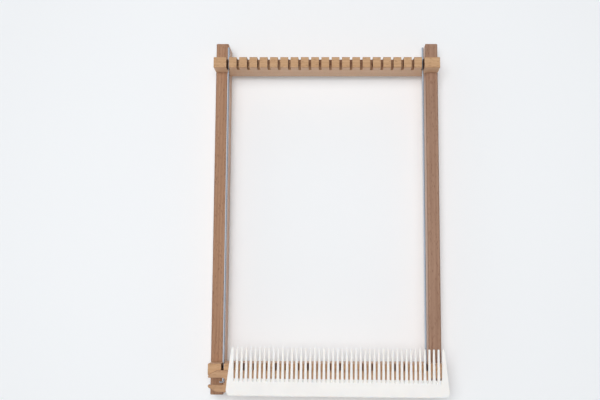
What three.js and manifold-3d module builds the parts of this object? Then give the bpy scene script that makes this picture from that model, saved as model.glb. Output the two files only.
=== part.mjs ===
// School weaving frame, lying on the backs of its side rails as it lies on a table.
// Millimetres. +X runs across the frame, +Y towards the upper beam, +Z out of the front.
// Two kerfed warp beams are let into two side rails and held by a screw at each crossing.
// A steel edge rod lies in each outermost kerf. A stick shuttle and a beating comb lie
// across the lower beam.
import * as THREE from 'three';
import { mergeVertices } from 'three/addons/utils/BufferGeometryUtils.js';
import Module from 'manifold-3d';

// Side rails
const railLength = 309;
const railWidth = 11;
const railDepth = 25;
const railSpacing = 176;
const railShift = -0.5;
const railEdgeRadius = 1.2;
const railEndChamfer = 0.6;

// Warp beams: the weaving length is the clear distance between them
const weavingLength = 255;
const beamWidth = 9.5;
const beamDepth = 27;
const beamLetIn = 12;
const beamEdgeRadius = 0.8;
const beamEndChamfer = 0.5;
const lapClearance = 0.1;

// Saw kerfs that hold the warp, in both beams
const kerfCount = 20;
const kerfPitch = 9;
const kerfWidth = 2.2;
const kerfDepth = 7.4;
const kerfShift = -1.2;

// Countersunk screws, driven from the backs of the rails
const screwHeadRadius = 3.4;
const screwHeadRim = 0.5;
const screwHeadRecess = 0.3;
const screwShankRadius = 1.75;
const screwLength = 28;
const screwPointLength = 3;
const screwClearance = 0.3;

// Edge rods of steel wire, each with a short toe bent outwards at its lower end
const rodRadius = 0.9;
const rodSeatGap = 0.3;
const rodShift = 0.12;
const rodUpperReach = 10.4;
const rodLowerReach = 6.2;
const rodBendRadius = 1.8;
const rodToeLength = 1.4;

// Stick shuttle with a fork at each end
const shuttleLength = 198;
const shuttleWidth = 17.8;
const shuttleThickness = 4;
const forkDepth = 14.4;
const forkWidth = 5.6;
const prongTaperLength = 7;
const prongTaperDepth = 4;
const shuttleEdgeBevel = 0.5;
const shuttleBearing = 4.2;
const shuttleShift = 1;
const shuttleSeatGap = 0.3;

// Beating comb
const combGapCount = 46;
const combPitch = 3.8;
const combRootGap = 1.4;
const combTipGap = 2.3;
const combToothLength = 25.4;
const combSpineHeight = 14.3;
const combEndToothTip = 2.1;
const combSideFlare = 3.7;
const combCornerRadius = 5;
const combThickness = 2.4;
const combTipThickness = 1.1;
const combRampLength = 2.6;
const combBackChamfer = 1.6;
const combTipChamfer = 0.4;
const combShift = 9.8;
const combBearing = 1.95;
const combTurn = THREE.MathUtils.degToRad(-0.42);
const combSeatGap = 0.3;

// How finely round forms are divided
const edgeSteps = 3;
const screwSides = 18;
const rodSides = 10;
const rodBendSteps = 5;
const forkSteps = 12;
const combArcSteps = 4;

// How far a cutting solid runs past the face that it cuts
const overcut = 2;

const railCentreX = (railSpacing + railWidth) / 2;
const beamLength = railSpacing + 2 * railWidth;
const beamCentreY = (weavingLength + beamWidth) / 2;
const beamOuterY = weavingLength / 2 + beamWidth;
const beamBackZ = railDepth - beamLetIn;
const beamFrontZ = beamBackZ + beamDepth;
const kerfFloorZ = beamFrontZ - kerfDepth;
const outerKerfX = (kerfCount - 1) * kerfPitch / 2;

const wasm = await Module();
wasm.setup();

function toSolid(geometry) {
  const bare = geometry.clone();
  bare.deleteAttribute('normal');
  bare.deleteAttribute('uv');
  const merged = mergeVertices(bare);
  return new wasm.Manifold(new wasm.Mesh({
    numProp: 3,
    vertProperties: new Float32Array(merged.attributes.position.array),
    triVerts: new Uint32Array(merged.index.array),
  }));
}

function toGeometry(solid) {
  const mesh = solid.getMesh();
  const geometry = new THREE.BufferGeometry();
  geometry.setAttribute('position', new THREE.BufferAttribute(mesh.vertProperties, 3));
  geometry.setIndex(new THREE.BufferAttribute(mesh.triVerts, 1));
  geometry.computeVertexNormals();
  return geometry;
}

// Turns a section drawn in a shape's own plane so that it lies across Y or across X
function sweptAlongY(geometry, length) {
  return geometry.rotateX(Math.PI / 2).translate(0, length / 2, 0);
}

function sweptAlongX(geometry, length) {
  const turn = new THREE.Matrix4().makeBasis(
    new THREE.Vector3(0, 1, 0),
    new THREE.Vector3(0, 0, 1),
    new THREE.Vector3(1, 0, 0),
  );
  return geometry.applyMatrix4(turn).translate(-length / 2, 0, 0);
}

// A rectangle centred across, standing on its base line, with round corners
function roundedSection(width, height, radius) {
  const half = width / 2;
  const section = new THREE.Shape();
  section.moveTo(half - radius, 0);
  section.absarc(half - radius, radius, radius, -Math.PI / 2, 0);
  section.absarc(half - radius, height - radius, radius, 0, Math.PI / 2);
  section.absarc(radius - half, height - radius, radius, Math.PI / 2, Math.PI);
  section.absarc(radius - half, radius, radius, Math.PI, 3 * Math.PI / 2);
  section.closePath();
  return section;
}

// A stick of that section with its end edges chamfered, laid from end to end
function chamferedStick(section, length, chamfer) {
  const geometry = new THREE.ExtrudeGeometry(section, {
    depth: length - 2 * chamfer,
    curveSegments: edgeSteps,
    bevelEnabled: true,
    bevelThickness: chamfer,
    bevelSize: chamfer,
    bevelOffset: -chamfer,
    bevelSegments: 1,
  });
  return geometry.translate(0, 0, chamfer);
}

// The screw's outline turned about its axis, grown sideways to make the hole that it fills
function screwForm(growth, headZ) {
  const headRadius = screwHeadRadius + growth;
  const shankRadius = screwShankRadius + growth;
  const coneTop = screwHeadRecess + screwHeadRim;
  const profile = [
    new THREE.Vector2(0, headZ),
    new THREE.Vector2(headRadius, headZ),
    new THREE.Vector2(headRadius, coneTop),
    new THREE.Vector2(shankRadius, coneTop + screwHeadRadius - screwShankRadius),
    new THREE.Vector2(shankRadius, screwLength - screwPointLength + growth),
    new THREE.Vector2(0, screwLength + growth),
  ];
  return new THREE.LatheGeometry(profile, screwSides).rotateX(Math.PI / 2);
}

// The hole runs out past the rail's back, and has a clearance all round the screw
function screwHole() {
  return screwForm(screwClearance, -overcut);
}

// The side rail stands on its back, with a notch for each beam
function railGeometry() {
  const section = roundedSection(railWidth, railDepth, railEdgeRadius);
  const stick = sweptAlongY(chamferedStick(section, railLength, railEndChamfer), railLength);
  let rail = toSolid(stick.translate(0, railShift, 0));
  const notchDepth = beamLetIn + lapClearance;
  const notch = new THREE.BoxGeometry(
    railWidth + 2 * overcut,
    beamWidth + 2 * lapClearance,
    notchDepth + overcut,
  );
  const notchZ = railDepth + (overcut - notchDepth) / 2;
  for (const side of [-1, 1]) {
    rail = rail.subtract(toSolid(notch.clone().translate(0, side * beamCentreY, notchZ)));
    rail = rail.subtract(toSolid(screwHole().translate(0, side * beamCentreY, 0)));
  }
  return toGeometry(rail);
}

// The warp beam stands on its back, with its kerfs sawn from the front
function beamGeometry() {
  const section = roundedSection(beamWidth, beamDepth, beamEdgeRadius);
  let beam = toSolid(sweptAlongX(chamferedStick(section, beamLength, beamEndChamfer), beamLength));
  const kerf = new THREE.BoxGeometry(kerfWidth, beamWidth + 2 * overcut, kerfDepth + overcut);
  const kerfZ = beamDepth + (overcut - kerfDepth) / 2;
  for (let number = 0; number < kerfCount; number += 1) {
    const kerfX = kerfShift - outerKerfX + number * kerfPitch;
    beam = beam.subtract(toSolid(kerf.clone().translate(kerfX, 0, kerfZ)));
  }
  for (const side of [-1, 1]) {
    beam = beam.subtract(toSolid(screwHole().translate(side * railCentreX, 0, -beamBackZ)));
  }
  return toGeometry(beam);
}

// A round wire swept along points in the XY plane, with a closed flat end at each end
function wireGeometry(points, directions, radius, sides) {
  const positions = [];
  const index = [];
  points.forEach((point, ring) => {
    const across = new THREE.Vector2(-directions[ring].y, directions[ring].x);
    for (let side = 0; side < sides; side += 1) {
      const angle = 2 * Math.PI * side / sides;
      const reach = radius * Math.cos(angle);
      positions.push(point.x + reach * across.x, point.y + reach * across.y, radius * Math.sin(angle));
    }
  });
  const last = points.length - 1;
  for (let ring = 0; ring < last; ring += 1) {
    for (let side = 0; side < sides; side += 1) {
      const here = ring * sides + side;
      const beside = ring * sides + (side + 1) % sides;
      index.push(here, beside, here + sides, beside, beside + sides, here + sides);
    }
  }
  for (let side = 1; side < sides - 1; side += 1) {
    index.push(0, side + 1, side);
    index.push(last * sides, last * sides + side, last * sides + side + 1);
  }
  const geometry = new THREE.BufferGeometry();
  geometry.setAttribute('position', new THREE.Float32BufferAttribute(positions, 3));
  geometry.setIndex(index);
  geometry.computeVertexNormals();
  return geometry;
}

// The edge rod runs down in its kerfs and turns outwards below the lower beam
function rodGeometry(outward) {
  const upperY = beamOuterY + rodUpperReach;
  const toeY = -beamOuterY - rodLowerReach;
  const bendX = outward * rodBendRadius;
  const bendY = toeY + rodBendRadius;
  const points = [new THREE.Vector2(0, upperY)];
  const directions = [new THREE.Vector2(0, -1)];
  for (let step = 0; step <= rodBendSteps; step += 1) {
    const angle = Math.PI / 2 * step / rodBendSteps;
    points.push(new THREE.Vector2(
      bendX - bendX * Math.cos(angle),
      bendY - rodBendRadius * Math.sin(angle),
    ));
    directions.push(new THREE.Vector2(outward * Math.sin(angle), -Math.cos(angle)));
  }
  points.push(new THREE.Vector2(bendX + outward * rodToeLength, toeY));
  directions.push(new THREE.Vector2(outward, 0));
  return wireGeometry(points, directions, rodRadius, rodSides);
}

// The flat shuttle, forked at both ends, with its prongs tapered on the outside
function shuttleGeometry() {
  const endX = shuttleLength / 2;
  const halfWidth = shuttleWidth / 2;
  const halfFork = forkWidth / 2;
  const tipY = halfWidth - prongTaperDepth;
  const forkCentreX = endX - forkDepth + halfFork;
  const outline = new THREE.Shape();
  outline.moveTo(prongTaperLength - endX, -halfWidth);
  outline.lineTo(endX - prongTaperLength, -halfWidth);
  outline.lineTo(endX, -tipY);
  outline.lineTo(endX, -halfFork);
  outline.absarc(forkCentreX, 0, halfFork, -Math.PI / 2, -3 * Math.PI / 2, true);
  outline.lineTo(endX, halfFork);
  outline.lineTo(endX, tipY);
  outline.lineTo(endX - prongTaperLength, halfWidth);
  outline.lineTo(prongTaperLength - endX, halfWidth);
  outline.lineTo(-endX, tipY);
  outline.lineTo(-endX, halfFork);
  outline.absarc(-forkCentreX, 0, halfFork, Math.PI / 2, -Math.PI / 2, true);
  outline.lineTo(-endX, -halfFork);
  outline.lineTo(-endX, -tipY);
  outline.closePath();
  const geometry = new THREE.ExtrudeGeometry(outline, {
    depth: shuttleThickness - 2 * shuttleEdgeBevel,
    curveSegments: forkSteps,
    bevelEnabled: true,
    bevelThickness: shuttleEdgeBevel,
    bevelSize: shuttleEdgeBevel,
    bevelOffset: -shuttleEdgeBevel,
    bevelSegments: 1,
  });
  return toGeometry(toSolid(geometry.translate(0, 0, shuttleEdgeBevel)));
}

// The comb seen from the front: tooth tips up, a gap between each two teeth
function combOutline() {
  const tipHalfWidth = (combGapCount - 1) * combPitch / 2 + combTipGap / 2 + combEndToothTip;
  const backHalfWidth = tipHalfWidth + combSideFlare;
  const rootRadius = combRootGap / 2;
  const outline = new THREE.Shape();
  outline.moveTo(combCornerRadius - backHalfWidth, -combSpineHeight);
  outline.lineTo(backHalfWidth - combCornerRadius, -combSpineHeight);
  outline.absarc(
    backHalfWidth - combCornerRadius,
    combCornerRadius - combSpineHeight,
    combCornerRadius,
    -Math.PI / 2,
    0,
  );
  outline.lineTo(tipHalfWidth, combToothLength - combTipChamfer);
  outline.lineTo(tipHalfWidth - combTipChamfer, combToothLength);
  for (let number = combGapCount - 1; number >= 0; number -= 1) {
    const centreX = (number - (combGapCount - 1) / 2) * combPitch;
    const mouth = combTipGap / 2;
    outline.lineTo(centreX + mouth + combTipChamfer, combToothLength);
    outline.lineTo(centreX + mouth, combToothLength - combTipChamfer);
    outline.absarc(centreX, rootRadius, rootRadius, 0, -Math.PI, true);
    outline.lineTo(centreX - mouth, combToothLength - combTipChamfer);
    outline.lineTo(centreX - mouth - combTipChamfer, combToothLength);
  }
  outline.lineTo(combTipChamfer - tipHalfWidth, combToothLength);
  outline.lineTo(-tipHalfWidth, combToothLength - combTipChamfer);
  outline.absarc(
    combCornerRadius - backHalfWidth,
    combCornerRadius - combSpineHeight,
    combCornerRadius,
    Math.PI,
    3 * Math.PI / 2,
  );
  outline.closePath();
  return outline;
}

// The comb seen from its end: flat underneath, with teeth that thin to their tips
function combProfile() {
  const profile = new THREE.Shape();
  profile.moveTo(-combSpineHeight, 0);
  profile.lineTo(combToothLength, 0);
  profile.lineTo(combToothLength, combTipThickness);
  profile.lineTo(0, combThickness);
  profile.lineTo(combBackChamfer - combSpineHeight, combThickness);
  profile.lineTo(-combSpineHeight, combThickness - combBackChamfer);
  profile.closePath();
  return profile;
}

// Slopes the closed end of each gap, so that the gap reaches further into the spine at the front
function slopeGapRoots(geometry) {
  const position = geometry.attributes.position;
  const rootTop = combRootGap / 2;
  for (let corner = 0; corner < position.count; corner += 1) {
    const y = position.getY(corner);
    if (y > -combRootGap && y < rootTop + combRootGap) {
      position.setY(corner, y - combRampLength * position.getZ(corner) / combThickness);
    }
  }
  return geometry;
}

// The comb is what its front outline and its end profile have in common
function combGeometry() {
  const frontDepth = combThickness + 2 * overcut;
  const front = new THREE.ExtrudeGeometry(combOutline(), {
    depth: frontDepth,
    curveSegments: combArcSteps,
    bevelEnabled: false,
  });
  const sideLength = combGapCount * combPitch + 2 * (combEndToothTip + combSideFlare + overcut);
  const side = new THREE.ExtrudeGeometry(combProfile(), { depth: sideLength, bevelEnabled: false });
  const frontSolid = toSolid(slopeGapRoots(front.translate(0, 0, -overcut)));
  return toGeometry(frontSolid.intersect(toSolid(sweptAlongX(side, sideLength))));
}

function material(color, roughness, metalness) {
  return new THREE.MeshStandardMaterial({ color, roughness, metalness });
}

const railWood = () => material(0xa67e62, 0.6, 0);
const beamWood = () => material(0xc5a37e, 0.6, 0);
const shuttleWood = () => material(0xcba784, 0.6, 0);
const steelWire = () => material(0xb0b8c3, 0.3, 1);
const zincedSteel = () => material(0xb8b4a8, 0.4, 1);
const whitePlastic = () => material(0xf3f1ed, 0.35, 0);

function placed(name, geometry, surface, x, y, z) {
  const mesh = new THREE.Mesh(geometry, surface);
  mesh.name = name;
  mesh.position.set(x, y, z);
  return mesh;
}

// The frame itself: rails, beams and the screws at their crossings
function frameGroup() {
  const frame = new THREE.Group();
  frame.add(placed('left_rail', railGeometry(), railWood(), -railCentreX, 0, 0));
  frame.add(placed('right_rail', railGeometry(), railWood(), railCentreX, 0, 0));
  frame.add(placed('top_beam', beamGeometry(), beamWood(), 0, beamCentreY, beamBackZ));
  frame.add(placed('bottom_beam', beamGeometry(), beamWood(), 0, -beamCentreY, beamBackZ));
  for (const [row, y] of [['top', beamCentreY], ['bottom', -beamCentreY]]) {
    for (const [column, x] of [['left', -railCentreX], ['right', railCentreX]]) {
      frame.add(placed(`${row}_${column}_screw`, screwForm(0, screwHeadRecess), zincedSteel(), x, y, 0));
    }
  }
  return frame;
}

// The two edge rods, each on the floor of an outermost kerf and towards its right wall
function rodGroup() {
  const rods = new THREE.Group();
  rods.position.set(kerfShift + rodShift, 0, kerfFloorZ + rodSeatGap + rodRadius);
  rods.add(placed('left_edge_rod', rodGeometry(-1), steelWire(), -outerKerfX, 0, 0));
  rods.add(placed('right_edge_rod', rodGeometry(1), steelWire(), outerKerfX, 0, 0));
  return rods;
}

// The shuttle lies on the lower beam and the comb on the shuttle
function toolGroup() {
  const tools = new THREE.Group();
  const shuttleY = shuttleBearing - beamOuterY - shuttleWidth / 2;
  tools.position.set(0, shuttleY, beamFrontZ + shuttleSeatGap);
  tools.add(placed('shuttle', shuttleGeometry(), shuttleWood(), shuttleShift, 0, 0));
  const combZ = shuttleThickness + combSeatGap;
  const comb = placed('comb', combGeometry(), whitePlastic(), combShift, combBearing, combZ);
  comb.rotation.z = combTurn;
  tools.add(comb);
  return tools;
}

const group = new THREE.Group();
group.add(frameGroup(), rodGroup(), toolGroup());

// The origin is the middle of the whole set's base
const reach = new THREE.Box3().setFromObject(group, true);
group.position.set(-(reach.min.x + reach.max.x) / 2, -(reach.min.y + reach.max.y) / 2, 0);

export default group;
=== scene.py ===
import math
import random

import bmesh
import bpy
from mathutils import Matrix, Vector


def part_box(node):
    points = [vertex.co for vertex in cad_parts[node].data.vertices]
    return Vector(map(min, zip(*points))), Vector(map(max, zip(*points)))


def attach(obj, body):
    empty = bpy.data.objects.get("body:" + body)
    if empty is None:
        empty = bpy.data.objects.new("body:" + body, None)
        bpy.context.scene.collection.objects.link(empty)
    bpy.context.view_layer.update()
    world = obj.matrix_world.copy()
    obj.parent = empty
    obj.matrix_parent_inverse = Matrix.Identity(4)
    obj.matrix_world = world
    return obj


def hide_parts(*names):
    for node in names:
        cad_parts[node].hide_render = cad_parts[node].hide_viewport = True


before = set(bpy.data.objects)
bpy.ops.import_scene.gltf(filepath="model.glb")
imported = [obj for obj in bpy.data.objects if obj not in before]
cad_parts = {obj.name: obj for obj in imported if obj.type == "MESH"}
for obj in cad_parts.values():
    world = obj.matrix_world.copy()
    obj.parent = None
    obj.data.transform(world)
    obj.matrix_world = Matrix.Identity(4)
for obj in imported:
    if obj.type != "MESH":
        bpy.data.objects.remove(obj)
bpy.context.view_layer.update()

# Everything is in metres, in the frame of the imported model: +X across, +Y towards the upper
# beam, +Z out of the front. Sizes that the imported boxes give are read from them.
MM = 0.001

# Wood: rails and beams
RAIL_EDGE_RADIUS = 1.2 * MM
RAIL_END_CHAMFER = 0.6 * MM
BEAM_EDGE_RADIUS = 0.8 * MM
BEAM_END_CHAMFER = 0.5 * MM
LONG_EDGE_STEPS = 6
END_CHAMFER_STEPS = 3
JOINT_CLEARANCE = 0.08 * MM
EASED_EDGE = 0.14 * MM
KERF_COUNT = 20
KERF_PITCH = 9 * MM
KERF_WIDTH = 2.2 * MM
KERF_DEPTH = 7.4 * MM
KERF_SHIFT = -1.2 * MM
KERF_SPREAD = 0.06 * MM
KERF_SEEDS = {"top_beam": 3, "bottom_beam": 5}

# Shuttle
FORK_DEPTH = 14.4 * MM
FORK_WIDTH = 5.6 * MM
FORK_ROOT_STEPS = 20
PRONG_TAPER_LENGTH = 7 * MM
PRONG_TAPER_DEPTH = 4 * MM
SHUTTLE_EDGE = 0.7 * MM
SHUTTLE_EDGE_SEGMENTS = 4
SHUTTLE_EDGE_ANGLE = 50

# Comb
COMB_GAP_COUNT = 46
COMB_PITCH = 3.8 * MM
COMB_ROOT_GAP = 1.4 * MM
COMB_ROOT_STEPS = 8
COMB_TIP_GAP = 2.3 * MM
COMB_TOOTH_LENGTH = 25.4 * MM
COMB_SPINE_HEIGHT = 14.3 * MM
COMB_END_TOOTH_TIP = 2.1 * MM
COMB_SIDE_FLARE = 3.7 * MM
COMB_CORNER_RADIUS = 5 * MM
COMB_CORNER_STEPS = 8
COMB_TIP_THICKNESS = 1.1 * MM
COMB_TIP_SLOPE = 0.06
COMB_RAMP_LENGTH = 2.6 * MM
COMB_BACK_RADIUS = 1.6 * MM
COMB_BACK_STEPS = 6
COMB_TIP_CHAMFER = 0.4 * MM
COMB_EDGE = 0.16 * MM
COMB_EDGE_ANGLE = 35
COMB_TURN = math.radians(-0.42)

# Edge rods
ROD_RADIUS = 0.9 * MM
ROD_BEND_RADIUS = 1.8 * MM
ROD_END_CHAMFER = 0.25 * MM
ROD_SIDES = 20
ROD_STRAIGHT_STEPS = 24
ROD_BEND_STEPS = 10

# Screws. The recess has its named sizes at the face of the head, and its flare is the share by
# which they grow or shrink over its depth.
SCREW_HEAD_RADIUS = 3.35 * MM
SCREW_HEAD_RIM = 0.5 * MM
SCREW_RIM_CHAMFER = 0.15 * MM
SCREW_SHANK_RADIUS = 1.75 * MM
SCREW_POINT_LENGTH = 3 * MM
SCREW_SIDES = 40
SCREW_HOLE_SIDES = 32
SCREW_EDGE = 0.06 * MM
SCREW_EDGE_ANGLE = 50
RECESS_REACH = 1.9 * MM
RECESS_WIDTH = 0.75 * MM
RECESS_DEPTH = 1.5 * MM
RECESS_FLARE = 0.6

# How far a cutter stands out of what it cuts, how near points are joined, and the angles in
# degrees from which an edge is eased and is shaded as sharp
OVERCUT = 2 * MM
SAME_POINT = 0.001 * MM
EASED_ANGLE = 30
SHARP_ANGLE = 40


# Forms

def size_of(node):
    low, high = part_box(node)
    return Vector(high) - Vector(low)


def centre_of(node):
    low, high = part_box(node)
    return (Vector(low) + Vector(high)) / 2


def new_object(name, data):
    made = bpy.data.objects.new(name, data)
    bpy.context.scene.collection.objects.link(made)
    return made


def object_from(name, form):
    mesh = bpy.data.meshes.new(name)
    bmesh.ops.recalc_face_normals(form, faces=form.faces)
    form.to_mesh(mesh)
    form.free()
    return new_object(name, mesh)


def settle(piece):
    """The piece's mesh becomes what its modifiers make of it."""
    graph = bpy.context.evaluated_depsgraph_get()
    mesh = bpy.data.meshes.new_from_object(piece.evaluated_get(graph))
    old = piece.data
    piece.modifiers.clear()
    piece.data = mesh
    bpy.data.meshes.remove(old)


def combine(piece, other, operation):
    """Changes the piece by the other one, which is used up."""
    cut = piece.modifiers.new("combine", "BOOLEAN")
    cut.operation = operation
    cut.solver = "EXACT"
    cut.object = other
    settle(piece)
    mesh = other.data
    bpy.data.objects.remove(other)
    bpy.data.meshes.remove(mesh)


def ease(piece, width, segments=2, angle=EASED_ANGLE):
    """Rounds the sharp edges that the cuts left, and joins the points that then fall together."""
    bevel = piece.modifiers.new("ease", "BEVEL")
    bevel.width = width
    bevel.segments = segments
    bevel.limit_method = "ANGLE"
    bevel.angle_limit = math.radians(angle)
    bevel.use_clamp_overlap = True
    settle(piece)
    form = bmesh.new()
    form.from_mesh(piece.data)
    bmesh.ops.remove_doubles(form, verts=form.verts, dist=SAME_POINT)
    form.to_mesh(piece.data)
    form.free()


def smooth(piece):
    """Shades round forms as round, and flat faces as flat."""
    mesh = piece.data
    mesh.shade_smooth()
    mesh.set_sharp_from_angle(angle=math.radians(SHARP_ANGLE))
    weighted = piece.modifiers.new("weighted", "WEIGHTED_NORMAL")
    weighted.keep_sharp = True
    settle(piece)


def move(piece, offset):
    piece.data.transform(Matrix.Translation(offset))


def fit_to(piece, node):
    """Puts the middle of the piece's box in the middle of the node's box."""
    points = [vertex.co for vertex in piece.data.vertices]
    low = Vector([min(point[axis] for point in points) for axis in range(3)])
    high = Vector([max(point[axis] for point in points) for axis in range(3)])
    move(piece, centre_of(node) - (low + high) / 2)


def skin(form, loops):
    """Faces between each loop of points and the next one, and over the two ends."""
    for lower, upper in zip(loops, loops[1:]):
        count = len(lower)
        for step in range(count):
            ahead = (step + 1) % count
            form.faces.new((lower[step], lower[ahead], upper[ahead], upper[step]))
    form.faces.new(loops[0])
    form.faces.new(loops[-1])


def prism(name, outline, low, high, place):
    """A closed prism. place(u, v, w) says where a point of the outline lies at height w."""
    form = bmesh.new()
    loops = [[form.verts.new(place(u, v, height)) for u, v in outline] for height in (low, high)]
    skin(form, loops)
    return object_from(name, form)


def arc(centre_u, centre_v, radius, start, end, steps):
    points = []
    for step in range(steps + 1):
        angle = math.radians(start + (end - start) * step / steps)
        points.append((centre_u + radius * math.cos(angle), centre_v + radius * math.sin(angle)))
    return points


def rounded_rectangle(width, height, radius, steps):
    half_u = width / 2 - radius
    half_v = height / 2 - radius
    points = arc(half_u, -half_v, radius, -90, 0, steps)
    points += arc(half_u, half_v, radius, 0, 90, steps)
    points += arc(-half_u, half_v, radius, 90, 180, steps)
    points += arc(-half_u, -half_v, radius, 180, 270, steps)
    return points


def along_y(u, v, w):
    return Vector((u, w, v))


def along_x(u, v, w):
    return Vector((w, u, v))


def along_z(u, v, w):
    return Vector((u, v, w))


def stick(name, width, height, length, radius, chamfer, place):
    """A bar with rounded long edges and softly chamfered ends, centred on the origin."""
    rings = []
    for end in (-1, 1):
        for step in range(END_CHAMFER_STEPS + 1):
            angle = math.radians(90 * step / END_CHAMFER_STEPS)
            inset = chamfer * (1 - math.sin(angle))
            reach = length / 2 - chamfer * (1 - math.cos(angle))
            rings.append((end * reach, inset))
    rings.sort()
    form = bmesh.new()
    loops = []
    for reach, inset in rings:
        section = rounded_rectangle(
            width - 2 * inset, height - 2 * inset, radius - inset, LONG_EDGE_STEPS
        )
        loops.append([form.verts.new(place(u, v, reach)) for u, v in section])
    skin(form, loops)
    return object_from(name, form)


def boxes(name, places):
    """One mesh of separate boxes, each given by its middle and its size."""
    form = bmesh.new()
    for middle, size in places:
        scale = Matrix.Diagonal((*size, 1))
        bmesh.ops.create_cube(form, size=1, matrix=Matrix.Translation(middle) @ scale)
    return object_from(name, form)


def turned(name, profile, sides):
    """A solid of revolution about Z, from (radius, height) points that start and end on the axis."""
    form = bmesh.new()
    loops = []
    for radius, height in profile:
        if radius == 0:
            loops.append([form.verts.new((0, 0, height))])
            continue
        ring = []
        for side in range(sides):
            angle = 2 * math.pi * side / sides
            place = (radius * math.cos(angle), radius * math.sin(angle), height)
            ring.append(form.verts.new(place))
        loops.append(ring)
    for lower, upper in zip(loops, loops[1:]):
        for side in range(sides):
            ahead = (side + 1) % sides
            if len(lower) == 1:
                form.faces.new((lower[0], upper[ahead], upper[side]))
            elif len(upper) == 1:
                form.faces.new((lower[side], lower[ahead], upper[0]))
            else:
                form.faces.new((lower[side], lower[ahead], upper[ahead], upper[side]))
    return object_from(name, form)


# Colours

def linear(red, green, blue):
    """A colour given as it looks on screen, 0 to 255, as the shader wants it."""
    values = []
    for value in (red, green, blue):
        value /= 255
        values.append(value / 12.92 if value <= 0.04045 else ((value + 0.055) / 1.055) ** 2.4)
    return (*values, 1)


WHITE = (1, 1, 1, 1)
LEFT_RAIL_DARK = linear(144, 105, 79)
LEFT_RAIL_LIGHT = linear(180, 142, 115)
RIGHT_RAIL_DARK = linear(139, 105, 85)
RIGHT_RAIL_LIGHT = linear(176, 143, 122)
RAIL_FLECK = linear(104, 69, 49)
# Painted light: the paler colour given to the rails' side faces
RAIL_SIDE_PAINTED_LIGHT = linear(222, 186, 162)
BEAM_DARK = linear(178, 136, 98)
BEAM_LIGHT = linear(206, 170, 133)
BEAM_FLECK = linear(144, 102, 70)
# Painted light: the paler colour given to the side faces of the beams and the shuttle
BEAM_SIDE_PAINTED_LIGHT = linear(212, 173, 142)
SHUTTLE_DARK = linear(174, 134, 101)
SHUTTLE_LIGHT = linear(196, 160, 127)
SHUTTLE_FLECK = linear(148, 109, 78)
# Partly saw scorch and partly painted shade: the dark colour given to the kerfs
SCORCH_AND_SHADE_COLOUR = linear(104, 58, 47)
PLASTIC_LIGHT = linear(248, 246, 243)
PLASTIC_DARK = linear(243, 242, 240)
STEEL_LIGHT = linear(196, 203, 213)
STEEL_DARK = linear(176, 184, 197)
ZINC_LIGHT = linear(196, 193, 182)
ZINC_DARK = linear(170, 170, 166)
FLOOR_LIGHT = linear(242, 245, 248)
FLOOR_DARK = linear(240, 243, 246)


# Materials. A range is a pair of values, from and to.

RISING = (0.0, 1.0)
FALLING = (1.0, 0.0)
NOISE_RANGE = (0.3, 0.7)


class Nodes:
    """A short way to write the nodes of a material or a world."""

    def __init__(self, owner, shader):
        owner.use_nodes = True
        self.owner = owner
        self.tree = owner.node_tree
        self.shader = self.tree.nodes[shader]

    def put(self, socket, value):
        """Links the socket to another one, or gives it a value of its own."""
        if isinstance(value, bpy.types.NodeSocket):
            self.tree.links.new(value, socket)
        else:
            socket.default_value = value

    def fill(self, node, inputs):
        for name, value in inputs.items():
            self.put(node.inputs[name], value)

    def shade(self, inputs):
        self.fill(self.shader, inputs)

    def add(self, kind, inputs=None, **settings):
        made = self.tree.nodes.new(kind)
        for name, value in settings.items():
            setattr(made, name, value)
        self.fill(made, inputs or {})
        return made

    def math(self, operation, first, second=0.0, clamp=False):
        made = self.add("ShaderNodeMath", {0: first, 1: second}, operation=operation)
        made.use_clamp = clamp
        return made.outputs[0]

    def plus(self, first, second):
        return self.math("ADD", first, second)

    def minus(self, first, second):
        return self.math("SUBTRACT", first, second)

    def times(self, first, second):
        return self.math("MULTIPLY", first, second)

    def absolute(self, value):
        return self.math("ABSOLUTE", value)

    def mix(self, factor, first, second):
        """Goes from the first colour to the second one as the factor goes from 0 to 1."""
        inputs = {"Factor": factor, 6: first, 7: second}
        return self.add("ShaderNodeMix", inputs, data_type="RGBA").outputs[2]

    def span(self, value, source, target=RISING):
        """Draws the source range out to the target range, and holds what lies outside."""
        inputs = {
            "Value": value,
            "From Min": source[0],
            "From Max": source[1],
            "To Min": target[0],
            "To Max": target[1],
        }
        return self.add("ShaderNodeMapRange", inputs, clamp=True).outputs["Result"]

    def placed(self, vector, scale=(1, 1, 1), location=(0, 0, 0), rotation=(0, 0, 0)):
        inputs = {"Vector": vector, "Scale": scale, "Location": location, "Rotation": rotation}
        return self.add("ShaderNodeMapping", inputs).outputs["Vector"]

    def noise(self, vector, scale, detail=2.0, roughness=0.5):
        """Cloudy noise. scale is how often it changes along each axis, per metre."""
        inputs = {
            "Vector": self.placed(vector, scale),
            "Scale": 1.0,
            "Detail": detail,
            "Roughness": roughness,
        }
        return self.add("ShaderNodeTexNoise", inputs).outputs[0]

    def bump(self, height, distance, strength):
        inputs = {"Height": height, "Distance": distance, "Strength": strength}
        return self.add("ShaderNodeBump", inputs).outputs["Normal"]


def new_material(name):
    return Nodes(bpy.data.materials.new(name), "Principled BSDF")


# Beech. First how often each pattern changes along the grain and twice across it, per metre.
BROAD_STREAKS = (7, 160, 160)
MIDDLE_STREAKS = (26, 750, 750)
FINE_STREAKS = (70, 2600, 2600)
RAY_CELLS = (200, 1500, 1500)
RAY_PATCHES = (60, 450, 450)
PORES = (300, 3800, 3800)

# The growth rings. The wave texture has a ring every 0.314 m at a scale of 1.
RING_SPACING = 2.6 * MM
RING_SPACING_AT_ONE = 0.314
RING_WAVER = 1.6
RING_WAVER_DETAIL = 2.0
RING_WAVER_SCALE = 0.5

# How the grain lies to the piece's own axes
GRAIN_TILT = (math.radians(0.6), math.radians(1.2), math.radians(0.8))

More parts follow.
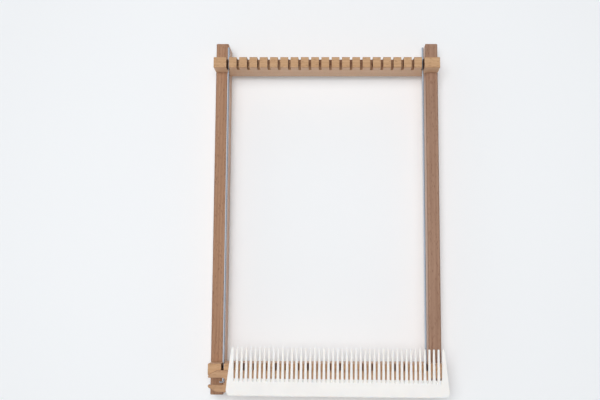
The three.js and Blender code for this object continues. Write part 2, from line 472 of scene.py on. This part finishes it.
# The part of each pattern's values that is used
MIDDLE_RANGE = (0.28, 0.72)
FINE_RANGE = (0.25, 0.75)
RING_RANGE = (0.15, 1.0)
TONE_RANGE = (0.05, 0.95)
CELL_RANGE = (0.12, 0.34)
PATCH_RANGE = (0.36, 0.54)
PORE_RANGE = (0.35, 0.65)

# How squarely a face looks along an axis to count as cut end, as side and as kerf floor, and
# how much it looks both ways to count as rounded edge
END_FACING = (0.6, 0.9)
SIDE_FACING = (0.7, 0.95)
KERF_FLOOR_FACING = (0.5, 0.8)
EDGE_FACING = (0.1, 0.45)

# The shares that make up the wood's light and dark
BROAD_SHARE = 0.3
MIDDLE_SHARE = 0.32
RING_SHARE = 0.2
FINE_SHARE = 0.18

# How strongly each mark shows
FLECK_SHARE = 0.9
PORE_SHARE = 0.45
END_GRAIN_SHARE = 0.32
# Painted light: how far the side faces are made paler
SIDE_PAINTED_LIGHT_SHARE = 0.6
# How much darker the rounded long edges are made
EDGE_DARKENING_SHARE = 0.45
# Partly saw scorch and partly painted shade: how dark the kerfs are made
SCORCH_AND_SHADE_SHARES = (0.35, 0.68)

# The kerfs' floors are told from the front by how far they lie behind it, and the walls of the
# kerfs from the ends of the beam by how far out they lie
SCORCH_AND_SHADE_STARTS = 3 * MM
SCORCH_AND_SHADE_FULL = 5 * MM
SCORCH_AND_SHADE_FADE = 2 * MM

WOOD_ROUGHNESS = (0.48, 0.62)
WOOD_ROUGHNESS_RANGE = (0.2, 0.8)
WOOD_RELIEF = 0.12 * MM
WOOD_RELIEF_STRENGTH = 0.6
WOOD_RELIEF_SHARE = 0.5

# Where in the log each piece was sawn, which moves the patterns in its wood
SAWN_AT = {
    "left_rail": (0.11, 0.045, 0.02),
    "right_rail": (0.52, 0.038, 0.05),
    "top_beam": (0.83, 0.06, 0.012),
    "bottom_beam": (1.27, 0.052, 0.03),
    "shuttle": (0.4, 0.05, 0.03),
}


def beech(name, node, grain, dark, light, fleck, painted_side_light, saw_cuts=None):
    """Bare sanded beech. grain is the axis that the fibres run along, X or Y. saw_cuts gives
    the middle of the kerfs, the reach of the outermost and the height of the front."""
    wood = new_material(name)
    coordinates = wood.add("ShaderNodeTexCoord")
    tilt_x, tilt_y, tilt_z = GRAIN_TILT
    if grain == "Y":
        tilt_z -= math.radians(90)
    turn = (tilt_x, tilt_y, tilt_z)
    base = wood.placed(coordinates.outputs["Object"], rotation=turn, location=SAWN_AT[node])

    # Growth rings about a pith that lies off to one side
    ring_inputs = {
        "Vector": base,
        "Scale": RING_SPACING_AT_ONE / RING_SPACING,
        "Distortion": RING_WAVER,
        "Detail": RING_WAVER_DETAIL,
        "Detail Scale": RING_WAVER_SCALE,
    }
    rings = wood.add("ShaderNodeTexWave", ring_inputs, wave_type="RINGS", rings_direction="X")
    ring_band = wood.span(rings.outputs["Fac"], RING_RANGE)

    # Streaks of three widths, all drawn out along the grain
    broad = wood.noise(base, BROAD_STREAKS)
    middle = wood.noise(base, MIDDLE_STREAKS, detail=3, roughness=0.6)
    fine = wood.noise(base, FINE_STREAKS, roughness=0.7)
    tone = wood.times(wood.span(broad, NOISE_RANGE), BROAD_SHARE)
    tone = wood.plus(tone, wood.times(wood.span(middle, MIDDLE_RANGE), MIDDLE_SHARE))
    tone = wood.plus(tone, wood.times(ring_band, RING_SHARE))
    tone = wood.plus(tone, wood.times(wood.span(fine, FINE_RANGE), FINE_SHARE))
    colour = wood.mix(wood.span(tone, TONE_RANGE), light, dark)

    # Short ray flecks, as beech has
    cell_inputs = {"Vector": wood.placed(base, RAY_CELLS), "Scale": 1.0, "Randomness": 1.0}
    cells = wood.add("ShaderNodeTexVoronoi", cell_inputs)
    near = wood.span(cells.outputs["Distance"], CELL_RANGE, FALLING)
    chosen = wood.span(wood.noise(base, RAY_PATCHES), PATCH_RANGE)
    flecks = wood.times(wood.times(near, chosen), FLECK_SHARE)
    colour = wood.mix(flecks, colour, fleck)

    # Cut ends and kerf walls show darker, open end grain
    facing = wood.add("ShaderNodeSeparateXYZ", {"Vector": coordinates.outputs["Normal"]})
    end_grain = wood.span(wood.absolute(facing.outputs[grain]), END_FACING)
    pores = wood.span(wood.noise(base, PORES, detail=1), PORE_RANGE, (0.0, PORE_SHARE))
    end_colour = wood.mix(END_GRAIN_SHARE, wood.mix(pores, colour, fleck), fleck)
    colour = wood.mix(end_grain, colour, end_colour)

    # Painted light: the side faces are mixed towards a paler colour than the fronts, standing in for
    # the light that falls on them from the sides
    side = wood.absolute(facing.outputs["X" if grain == "Y" else "Y"])
    colour = wood.mix(wood.span(side, SIDE_FACING, (0.0, SIDE_PAINTED_LIGHT_SHARE)), colour, painted_side_light)

    # The rounded long edges are made darker, towards the fleck colour
    front_or_back = wood.absolute(facing.outputs["Z"])
    edge = wood.span(wood.times(side, front_or_back), EDGE_FACING)
    colour = wood.mix(wood.times(edge, EDGE_DARKENING_SHARE), colour, fleck)

    # The walls and the floor of each kerf are darkened, partly as saw scorch and partly as painted
    # shade in these deep, narrow cuts
    if saw_cuts:
        centre, reach, front = saw_cuts
        place = wood.add("ShaderNodeSeparateXYZ", {"Vector": coordinates.outputs["Object"]})
        along = wood.absolute(wood.minus(place.outputs["X"], centre))
        walls = wood.times(end_grain, wood.span(along, (reach, reach + SCORCH_AND_SHADE_FADE), FALLING))
        depths = (front - SCORCH_AND_SHADE_FULL, front - SCORCH_AND_SHADE_STARTS)
        deep = wood.span(place.outputs["Z"], depths, FALLING)
        floor = wood.times(wood.span(facing.outputs["Z"], KERF_FLOOR_FACING), deep)
        kerf_scorch_and_shade = wood.math("MAXIMUM", walls, floor)
        mottled = wood.span(broad, NOISE_RANGE, SCORCH_AND_SHADE_SHARES)
        colour = wood.mix(wood.times(kerf_scorch_and_shade, mottled), colour, SCORCH_AND_SHADE_COLOUR)

    relief = wood.plus(
        wood.times(fine, WOOD_RELIEF_SHARE), wood.times(middle, WOOD_RELIEF_SHARE)
    )
    relief = wood.minus(relief, wood.times(flecks, WOOD_RELIEF_SHARE))
    wood.shade({
        "Base Color": colour,
        "Roughness": wood.span(middle, WOOD_ROUGHNESS_RANGE, WOOD_ROUGHNESS),
        "Normal": wood.bump(relief, WOOD_RELIEF, WOOD_RELIEF_STRENGTH),
    })
    return wood.owner


PLASTIC_CLOUDS = (60, 60, 60)
PLASTIC_GRAIN = (900, 900, 900)
PLASTIC_ROUGHNESS = (0.3, 0.38)
PLASTIC_RELIEF = 0.02 * MM
PLASTIC_RELIEF_STRENGTH = 0.5
PLASTIC_SCATTER = 0.5
PLASTIC_SCATTER_REACH = 1.2 * MM
PLASTIC_SCATTER_COLOUR = (1.0, 0.9, 0.8)
PLASTIC_IOR = 1.5


def moulded_white(name):
    """White polystyrene from a mould: even, smooth, faintly see-through where it is thin."""
    plastic = new_material(name)
    coordinates = plastic.add("ShaderNodeTexCoord").outputs["Object"]
    clouds = plastic.noise(coordinates, PLASTIC_CLOUDS)
    relief = plastic.noise(coordinates, PLASTIC_GRAIN)
    plastic.shade({
        "Base Color": plastic.mix(plastic.span(clouds, NOISE_RANGE), PLASTIC_LIGHT, PLASTIC_DARK),
        "Roughness": plastic.span(clouds, NOISE_RANGE, PLASTIC_ROUGHNESS),
        "Normal": plastic.bump(relief, PLASTIC_RELIEF, PLASTIC_RELIEF_STRENGTH),
        "Subsurface Weight": PLASTIC_SCATTER,
        "Subsurface Radius": PLASTIC_SCATTER_COLOUR,
        "Subsurface Scale": PLASTIC_SCATTER_REACH,
        "IOR": PLASTIC_IOR,
    })
    return plastic.owner


METAL_RELIEF = 0.01 * MM
STEEL_LINES = (5000, 60, 5000)
STEEL_ROUGHNESS = (0.07, 0.14)
STEEL_RELIEF_STRENGTH = 0.6
ZINC_MOTTLE = (1500, 1500, 1500)
ZINC_ROUGHNESS = (0.3, 0.48)
ZINC_RELIEF_STRENGTH = 0.5


def bare_metal(name, pattern, light, dark, roughness, relief_strength):
    """Metal whose colour, roughness and relief follow one fine pattern."""
    metal = new_material(name)
    coordinates = metal.add("ShaderNodeTexCoord").outputs["Object"]
    marks = metal.noise(coordinates, pattern)
    metal.shade({
        "Base Color": metal.mix(metal.span(marks, NOISE_RANGE), light, dark),
        "Roughness": metal.span(marks, NOISE_RANGE, roughness),
        "Normal": metal.bump(marks, METAL_RELIEF, relief_strength),
        "Metallic": 1.0,
    })
    return metal.owner


def drawn_steel(name):
    """Bright wire with fine lines along its length."""
    colours = (STEEL_LIGHT, STEEL_DARK)
    return bare_metal(name, STEEL_LINES, *colours, STEEL_ROUGHNESS, STEEL_RELIEF_STRENGTH)


def zinc_plate(name):
    """Zinc plate with a faint mottle."""
    colours = (ZINC_LIGHT, ZINC_DARK)
    return bare_metal(name, ZINC_MOTTLE, *colours, ZINC_ROUGHNESS, ZINC_RELIEF_STRENGTH)


plastic_material = moulded_white("white_plastic")
rod_material = drawn_steel("drawn_steel")
screw_material = zinc_plate("zinc_plate")


def dress(piece, node, body, material):
    piece.data.materials.clear()
    piece.data.materials.append(material)
    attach(piece, body)
    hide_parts(node)


# Pieces

SCREWS = [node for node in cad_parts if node.endswith("_screw")]


def screw_holes():
    """Cutters the shape of each screw, grown by the clearance, joined in one mesh."""
    merged = bmesh.new()
    for node in SCREWS:
        low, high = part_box(node)
        middle = centre_of(node)
        shank = SCREW_SHANK_RADIUS + JOINT_CLEARANCE
        head = SCREW_HEAD_RADIUS + JOINT_CLEARANCE
        rim = low[2] + SCREW_HEAD_RIM
        top = high[2] + JOINT_CLEARANCE
        profile = [
            (0, -OVERCUT),
            (head, -OVERCUT),
            (head, rim),
            (shank, rim + SCREW_HEAD_RADIUS - SCREW_SHANK_RADIUS),
            (shank, top),
            (0, top),
        ]
        hole = turned("hole", profile, SCREW_HOLE_SIDES)
        move(hole, Vector((middle[0], middle[1], 0)))
        merged.from_mesh(hole.data)
        bpy.data.objects.remove(hole)
    return object_from("holes", merged)


def make_rail(side, dark, light):
    node = side + "_rail"
    size = size_of(node)
    rail = stick(
        node + "_wood", size[0], size[2], size[1], RAIL_EDGE_RADIUS, RAIL_END_CHAMFER, along_y
    )
    fit_to(rail, node)
    middle = centre_of(node)
    notches = []
    for beam in ("top_beam", "bottom_beam"):
        beam_low, beam_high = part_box(beam)
        floor = beam_low[2] - JOINT_CLEARANCE
        top = beam_high[2]
        place = Vector((middle[0], (beam_low[1] + beam_high[1]) / 2, (floor + top) / 2))
        width = beam_high[1] - beam_low[1] + 2 * JOINT_CLEARANCE
        notches.append((place, (size[0] + 2 * OVERCUT, width, top - floor)))
    combine(rail, boxes("notches", notches), "DIFFERENCE")
    combine(rail, screw_holes(), "DIFFERENCE")
    ease(rail, EASED_EDGE)
    smooth(rail)
    wood = beech(node + "_beech", node, "Y", dark, light, RAIL_FLECK, RAIL_SIDE_PAINTED_LIGHT)
    dress(rail, node, "frame", wood)


def make_beam(row):
    node = row + "_beam"
    size = size_of(node)
    beam = stick(
        node + "_wood", size[1], size[2], size[0], BEAM_EDGE_RADIUS, BEAM_END_CHAMFER, along_x
    )
    fit_to(beam, node)
    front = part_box(node)[1][2]
    middle = centre_of(node)
    draw = random.Random(KERF_SEEDS[node])
    kerfs = []
    for number in range(KERF_COUNT):
        offset = (number - (KERF_COUNT - 1) / 2) * KERF_PITCH + KERF_SHIFT
        depth = KERF_DEPTH + draw.uniform(0, KERF_SPREAD)
        place = Vector((middle[0] + offset, middle[1], front + (OVERCUT - depth) / 2))
        kerfs.append((place, (KERF_WIDTH, size[1] + 2 * OVERCUT, depth + OVERCUT)))
    combine(beam, boxes("kerfs", kerfs), "DIFFERENCE")
    combine(beam, screw_holes(), "DIFFERENCE")
    ease(beam, EASED_EDGE)
    smooth(beam)
    reach = (KERF_COUNT - 1) / 2 * KERF_PITCH + KERF_WIDTH
    cuts = (middle[0] + KERF_SHIFT, reach, front)
    wood = beech(node + "_beech", node, "X", BEAM_DARK, BEAM_LIGHT, BEAM_FLECK, BEAM_SIDE_PAINTED_LIGHT, cuts)
    dress(beam, node, "frame", wood)


def make_shuttle():
    size = size_of("shuttle")
    end = size[0] / 2
    half = size[1] / 2
    thick = size[2]
    fork = FORK_WIDTH / 2
    tip = half - PRONG_TAPER_DEPTH
    root = end - FORK_DEPTH + fork
    lower_prong = [
        (end - PRONG_TAPER_LENGTH, -half),
        (end, -tip),
        (end, -fork),
    ]
    upper_prong = [(u, -v) for u, v in reversed(lower_prong)]
    right = lower_prong + arc(root, 0, fork, -90, -270, FORK_ROOT_STEPS) + upper_prong
    left = [(-u, -v) for u, v in right]
    shuttle = prism("shuttle_wood", right + left, -thick / 2, thick / 2, along_z)
    ease(shuttle, SHUTTLE_EDGE, SHUTTLE_EDGE_SEGMENTS, SHUTTLE_EDGE_ANGLE)
    fit_to(shuttle, "shuttle")
    smooth(shuttle)
    colours = (SHUTTLE_DARK, SHUTTLE_LIGHT, SHUTTLE_FLECK, BEAM_SIDE_PAINTED_LIGHT)
    wood = beech("shuttle_pale_beech", "shuttle", "X", *colours)
    dress(shuttle, "shuttle", "shuttle_body", wood)


def comb_outline():
    tip_half = (COMB_GAP_COUNT - 1) * COMB_PITCH / 2 + COMB_TIP_GAP / 2 + COMB_END_TOOTH_TIP
    back_half = tip_half + COMB_SIDE_FLARE
    radius = COMB_CORNER_RADIUS
    corner_u = back_half - radius
    corner_v = radius - COMB_SPINE_HEIGHT
    tooth = COMB_TOOTH_LENGTH
    chamfer = COMB_TIP_CHAMFER
    mouth = COMB_TIP_GAP / 2
    root = COMB_ROOT_GAP / 2
    points = arc(corner_u, corner_v, radius, -90, 0, COMB_CORNER_STEPS)
    points += [(tip_half, tooth - chamfer), (tip_half - chamfer, tooth)]
    for number in reversed(range(COMB_GAP_COUNT)):
        middle = (number - (COMB_GAP_COUNT - 1) / 2) * COMB_PITCH
        points += [(middle + mouth + chamfer, tooth), (middle + mouth, tooth - chamfer)]
        points += arc(middle, root, root, 0, -180, COMB_ROOT_STEPS)
        points += [(middle - mouth, tooth - chamfer), (middle - mouth - chamfer, tooth)]
    points += [(chamfer - tip_half, tooth), (-tip_half, tooth - chamfer)]
    points += arc(-corner_u, corner_v, radius, 180, 270, COMB_CORNER_STEPS)
    return points


def make_comb():
    width = size_of("comb")[0]
    thick = size_of("comb")[2]

    def sloped(u, v, w):
        """The closed end of each gap slopes into the spine towards the front."""
        if abs(v) < COMB_ROOT_GAP:
            v -= COMB_RAMP_LENGTH * w / thick
        return Vector((u, v, w))

    comb = prism("comb_moulding", comb_outline(), -OVERCUT, thick + OVERCUT, sloped)
    back = -COMB_SPINE_HEIGHT
    radius = COMB_BACK_RADIUS
    profile = [
        (back, 0),
        (COMB_TOOTH_LENGTH + OVERCUT, 0),
        (COMB_TOOTH_LENGTH + OVERCUT, COMB_TIP_THICKNESS - OVERCUT * COMB_TIP_SLOPE),
        (COMB_TOOTH_LENGTH, COMB_TIP_THICKNESS),
        (0, thick),
    ]
    profile += arc(back + radius, thick - radius, radius, 90, 180, COMB_BACK_STEPS)
    side = prism("comb_side", profile, -width, width, along_x)
    combine(comb, side, "INTERSECT")
    ease(comb, COMB_EDGE, angle=COMB_EDGE_ANGLE)
    comb.data.transform(Matrix.Rotation(COMB_TURN, 4, "Z"))
    fit_to(comb, "comb")
    smooth(comb)
    dress(comb, "comb", "comb_body", plastic_material)


def rod_path(node, outward):
    """The rod's middle, direction and radius at each step, from its upper tip to its toe."""
    low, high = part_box(node)
    upper = high[1]
    toe_y = low[1] + ROD_RADIUS
    bend_y = toe_y + ROD_BEND_RADIUS
    down = Vector((0, -1))
    path = [(Vector((0, upper)), down, ROD_RADIUS - ROD_END_CHAMFER)]
    path.append((Vector((0, upper - ROD_END_CHAMFER)), down, ROD_RADIUS))
    for step in range(1, ROD_STRAIGHT_STEPS):
        y = upper + (bend_y - upper) * step / ROD_STRAIGHT_STEPS
        path.append((Vector((0, y)), down, ROD_RADIUS))
    for step in range(ROD_BEND_STEPS + 1):
        angle = math.pi / 2 * step / ROD_BEND_STEPS
        x = outward * ROD_BEND_RADIUS * (1 - math.cos(angle))
        y = bend_y - ROD_BEND_RADIUS * math.sin(angle)
        ahead = Vector((outward * math.sin(angle), -math.cos(angle)))
        path.append((Vector((x, y)), ahead, ROD_RADIUS))
    out = Vector((outward, 0))
    tip = Vector((outward * (high[0] - low[0] - ROD_RADIUS), toe_y))
    path.append((tip - out * ROD_END_CHAMFER, out, ROD_RADIUS))
    path.append((tip, out, ROD_RADIUS - ROD_END_CHAMFER))
    return path


def make_rod(side, outward):
    node = side + "_edge_rod"
    form = bmesh.new()
    loops = []
    for middle, ahead, radius in rod_path(node, outward):
        across = Vector((-ahead.y, ahead.x))
        ring = []
        for step in range(ROD_SIDES):
            angle = 2 * math.pi * step / ROD_SIDES
            offset = across * radius * math.cos(angle)
            place = (middle.x + offset.x, middle.y + offset.y, radius * math.sin(angle))
            ring.append(form.verts.new(place))
        loops.append(ring)
    skin(form, loops)
    rod = object_from(node + "_wire", form)
    fit_to(rod, node)
    smooth(rod)
    dress(rod, node, side + "_rod", rod_material)


def cross_recess():
    """A cutter with four equal arms. It stands out of the head as far as it goes in, and
    narrows towards the bottom of the recess."""
    form = bmesh.new()
    loops = []
    for height, growth in ((-RECESS_DEPTH, 1 + RECESS_FLARE), (RECESS_DEPTH, 1 - RECESS_FLARE)):
        reach = RECESS_REACH * growth
        half = RECESS_WIDTH / 2 * growth
        loop = []
        for quarter in range(4):
            turn = Matrix.Rotation(math.radians(90 * quarter), 3, "Z")
            for u, v in ((reach, -half), (reach, half), (half, half)):
                loop.append(form.verts.new(turn @ Vector((u, v, height))))
        loops.append(loop)
    skin(form, loops)
    return object_from("recess", form)


def make_screw(node):
    low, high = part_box(node)
    height = high[2] - low[2]
    cone = SCREW_HEAD_RIM + SCREW_HEAD_RADIUS - SCREW_SHANK_RADIUS
    profile = [
        (0, 0),
        (SCREW_HEAD_RADIUS - SCREW_RIM_CHAMFER, 0),
        (SCREW_HEAD_RADIUS, SCREW_RIM_CHAMFER),
        (SCREW_HEAD_RADIUS, SCREW_HEAD_RIM),
        (SCREW_SHANK_RADIUS, cone),
        (SCREW_SHANK_RADIUS, height - SCREW_POINT_LENGTH),
        (0, height),
    ]
    screw = turned(node + "_zinc", profile, SCREW_SIDES)
    combine(screw, cross_recess(), "DIFFERENCE")
    middle = centre_of(node)
    move(screw, Vector((middle[0], middle[1], low[2])))
    ease(screw, SCREW_EDGE, segments=1, angle=SCREW_EDGE_ANGLE)
    smooth(screw)
    dress(screw, node, "frame", screw_material)


make_rail("left", LEFT_RAIL_DARK, LEFT_RAIL_LIGHT)
make_rail("right", RIGHT_RAIL_DARK, RIGHT_RAIL_LIGHT)
make_beam("top")
make_beam("bottom")
make_rod("left", -1)
make_rod("right", 1)
make_shuttle()
make_comb()
for screw_node in SCREWS:
    make_screw(screw_node)


# Surroundings

# How much lighter the floor shows to the camera and in the steel than its lit colour, near the
# frame and far from it, where the lamps' light has faded
FLOOR_LIFTS = (0.06, 0.72)
FLOOR_FADE = (0.35, 2.2)
FLOOR_REACH = 4
FLOOR_ROUGHNESS = 0.9
FLOOR_CLOUDS = (3, 3, 3)

# Lamps: name, place, width of the square and power in watts. Both face the origin.
KEY_LAMP = ("key", (-0.09, 0.06, 1.35), 0.6, 12.6)
FILL_LAMP = ("fill", (0.9, -0.6, 1.2), 1.2, 1)

# The light tent's strength falls from that of its walls to that of its roof, which it has from
# the shoulder up, and grows to the left by the lean. The steel shows a lighter roof and more lean.
TENT_WALLS = 1.0
TENT_SHOULDER = 0.6
TENT_ROOF = 0.2
TENT_ROOF_IN_STEEL = 0.68
TENT_LEAN = 0.12
TENT_LEAN_IN_STEEL = 0.45

# The photograph's camera: focal length and picture centre in pixels of a 600 by 400 picture
PICTURE_WIDTH = 600
FOCAL_PIXELS = 745.9
CENTRE_RIGHT_PIXELS = 25.95
CENTRE_DOWN_PIXELS = 18.7
SENSOR_WIDTH = 36
CAMERA_PLACE = (0.0037, -0.0712, 0.6736)
CAMERA_TURN = (math.radians(5.989), math.radians(0.486), math.radians(0.158))


def make_floor():
    form = bmesh.new()
    bmesh.ops.create_grid(form, x_segments=2, y_segments=2, size=FLOOR_REACH)
    floor = object_from("floor", form)
    paper = new_material("pale_floor")
    coordinates = paper.add("ShaderNodeTexCoord").outputs["Object"]
    clouds = paper.noise(coordinates, FLOOR_CLOUDS)
    seen = paper.add("ShaderNodeLightPath")
    shown = paper.plus(seen.outputs["Is Camera Ray"], seen.outputs["Is Glossy Ray"])
    shown = paper.math("ADD", shown, seen.outputs["Is Transmission Ray"], clamp=True)
    length = paper.add("ShaderNodeVectorMath", {0: coordinates}, operation="LENGTH")
    lift = paper.span(length.outputs["Value"], FLOOR_FADE, FLOOR_LIFTS)
    paper.shade({
        "Base Color": paper.mix(clouds, FLOOR_LIGHT, FLOOR_DARK),
        "Roughness": FLOOR_ROUGHNESS,
        "Emission Color": WHITE,
        "Emission Strength": paper.times(shown, lift),
    })
    floor.data.materials.append(paper.owner)


def make_lamp(name, place, width, power):
    data = bpy.data.lights.new(name, "AREA")
    data.shape = "SQUARE"
    data.size = width
    data.energy = power
    lamp = new_object(name, data)
    lamp.location = place
    lamp.rotation_euler = (-Vector(place)).to_track_quat("-Z", "Y").to_euler()
    lamp.visible_glossy = False


def make_world():
    """A white light tent: brighter walls than roof, and brighter at the left than at the right."""
    tent = Nodes(bpy.data.worlds.new("studio"), "Background")
    bpy.context.scene.world = tent.owner
    generated = tent.add("ShaderNodeTexCoord").outputs["Generated"]
    direction = tent.add("ShaderNodeSeparateXYZ", {"Vector": generated})
    in_steel = tent.add("ShaderNodeLightPath").outputs["Is Glossy Ray"]
    roof = tent.span(in_steel, RISING, (TENT_ROOF, TENT_ROOF_IN_STEEL))
    lean = tent.span(in_steel, RISING, (-TENT_LEAN, -TENT_LEAN_IN_STEEL))
    height = tent.span(direction.outputs["Z"], (0, TENT_SHOULDER), (TENT_WALLS, roof))
    strength = tent.plus(tent.times(direction.outputs["X"], lean), height)
    tent.shade({"Color": WHITE, "Strength": strength})


def make_camera():
    data = bpy.data.cameras.new("camera")
    data.sensor_width = SENSOR_WIDTH
    data.lens = SENSOR_WIDTH * FOCAL_PIXELS / PICTURE_WIDTH
    data.shift_x = -CENTRE_RIGHT_PIXELS / PICTURE_WIDTH
    data.shift_y = CENTRE_DOWN_PIXELS / PICTURE_WIDTH
    camera = new_object("camera", data)
    camera.location = CAMERA_PLACE
    camera.rotation_euler = CAMERA_TURN
    bpy.context.scene.camera = camera


make_floor()
make_lamp(*KEY_LAMP)
make_lamp(*FILL_LAMP)
make_world()
make_camera()
bpy.context.scene.view_settings.view_transform = "Standard"
